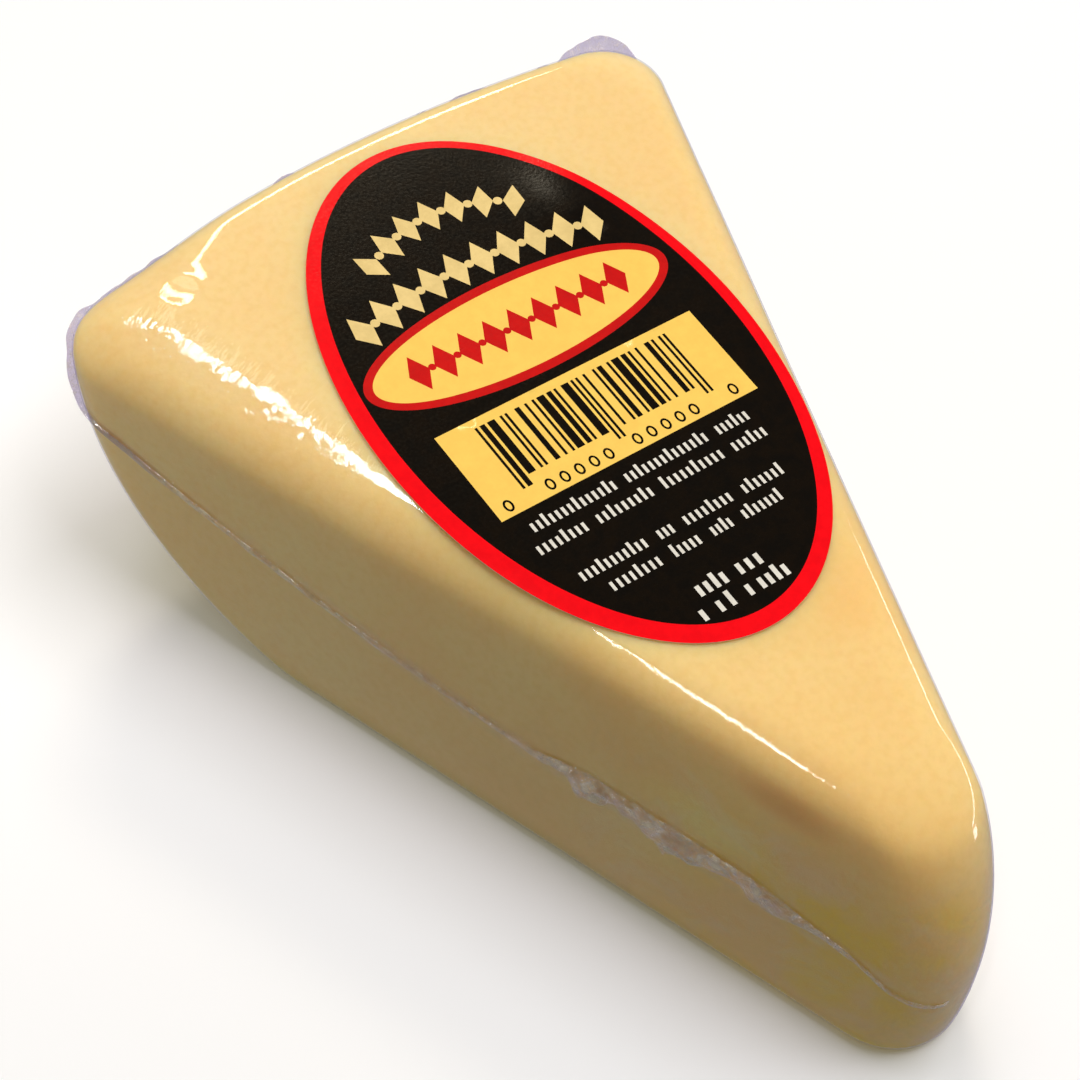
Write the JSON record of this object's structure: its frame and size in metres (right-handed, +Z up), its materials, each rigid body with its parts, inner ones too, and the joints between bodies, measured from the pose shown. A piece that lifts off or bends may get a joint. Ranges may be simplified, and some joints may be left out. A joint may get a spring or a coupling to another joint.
{
  "type": "cheese wedge",
  "caption": "Film-wrapped wedge of semi-hard cheese with soft edges, a rind end that curves in under it, a sealed fin of film round its sides and an oval label on its top.",
  "frame": {"origin": "middle of the box round the whole part, at the height of the flat base", "axes": "+Z up; +Y from the tip of the wedge to its rind; +X to the right of someone who looks along +Y"},
  "size_m": [0.0924, 0.1272, 0.0397],
  "materials": {
    "cheese": "pale yellow cheese under tight clear film",
    "film": "thin clear glossy film, creased and slightly grey at the seal",
    "label": "gloss-coated paper, near black with a red border and pale yellow fields"
  },
  "bodies": {
    "root": {"wrapped_cheese": "cheese", "seal_fin": "film", "label": "label"}
  },
  "joints": []
}
